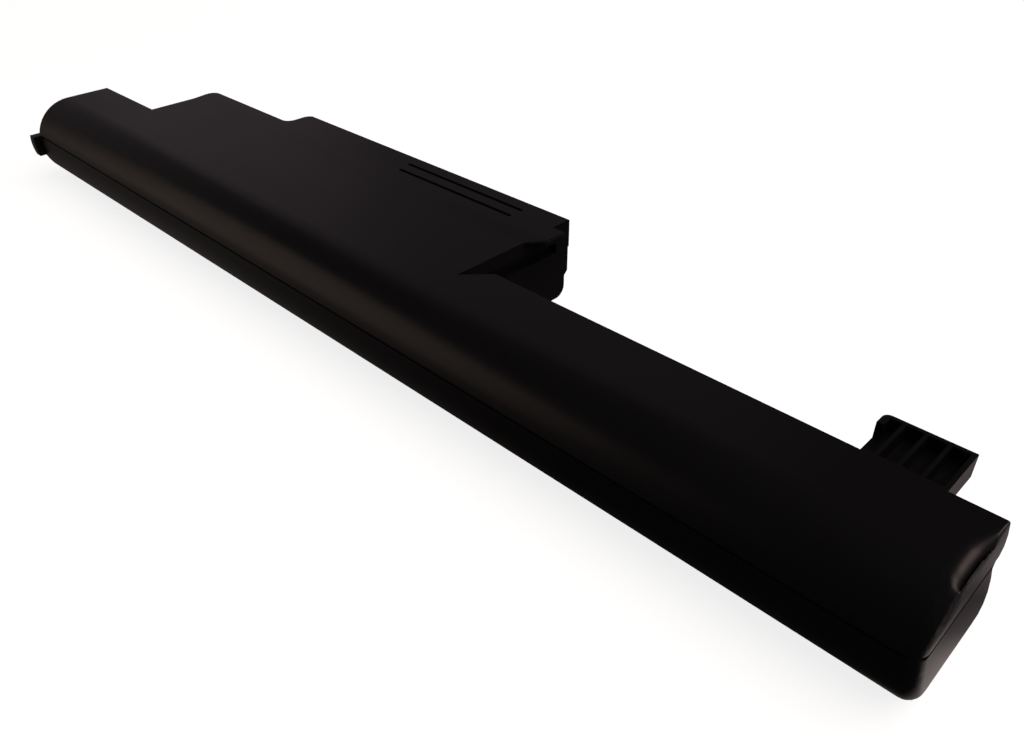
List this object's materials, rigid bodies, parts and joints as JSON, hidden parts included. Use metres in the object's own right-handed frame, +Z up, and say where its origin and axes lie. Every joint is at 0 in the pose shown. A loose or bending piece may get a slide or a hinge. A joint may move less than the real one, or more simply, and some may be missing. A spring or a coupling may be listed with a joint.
{
  "type": "laptop battery",
  "caption": "Slide-in laptop battery with a round-fronted barrel, a flat deck and bay behind it, a ribbed lock tongue, a guide slot with a lead-in ramp and a blade connector.",
  "frame": {"origin": "on the plane that the battery rests on, at the middle of the barrel's length, under the plane of the barrel's upper back wall", "axes": "+X along the barrel towards the end with the lock tongue, +Y from the barrel towards the deck, +Z up"},
  "size_m": [0.2743, 0.0536, 0.0231],
  "materials": {
    "case_plastic": "fine-grained black moulded plastic with a satin sheen",
    "cell_sleeve": "plain shrink sleeve over a steel can",
    "insulating_card": "matt insulating card",
    "nickel": "rolled nickel",
    "foam": "closed-cell foam",
    "board_laminate": "solder-masked laminate",
    "connector_plastic": "black moulded plastic",
    "contact_metal": "plated spring brass",
    "chip_plastic": "moulded epoxy",
    "ceramic": "fired ceramic",
    "bead_glaze": "glazed bead"
  },
  "bodies": {
    "root": {"barrel_bus_strip": "nickel", "barrel_foam_strip": "foam", "barrel_link_1": "nickel", "barrel_link_2": "nickel", "barrel_link_3": "nickel", "barrel_tap_strip": "nickel", "board_insulating_paper": "insulating_card", "capacitor_1": "ceramic", "capacitor_2": "ceramic", "capacitor_3": "ceramic", "cell_1": "cell_sleeve", "cell_2": "cell_sleeve", "cell_3": "cell_sleeve", "cell_4": "cell_sleeve", "cell_5": "cell_sleeve", "cell_6": "cell_sleeve", "charge_transistor": "chip_plastic", "connector_housing": "connector_plastic", "contact_1": "contact_metal", "contact_2": "contact_metal", "contact_3": "contact_metal", "contact_4": "contact_metal", "contact_5": "contact_metal", "contact_6": "contact_metal", "contact_7": "contact_metal", "contact_8": "contact_metal", "control_board": "board_laminate", "deck_bus_strip": "nickel", "deck_foam_strip_1": "foam", "deck_foam_strip_2": "foam", "deck_link": "nickel", "deck_tap_strip": "nickel", "discharge_transistor": "chip_plastic", "fuse": "chip_plastic", "gauge_chip": "chip_plastic", "insulating_ring_1": "insulating_card", "insulating_ring_2": "insulating_card", "insulating_ring_3": "insulating_card", "insulating_ring_4": "insulating_card", "insulating_ring_5": "insulating_card", "insulating_ring_6": "insulating_card", "lower_case": "case_plastic", "negative_lead_strip": "nickel", "positive_lead_strip": "nickel", "protection_chip": "chip_plastic", "row_insulating_paper": "insulating_card", "sense_resistor": "ceramic", "series_strip": "nickel", "thermistor": "bead_glaze", "upper_case": "case_plastic"}
  },
  "joints": []
}
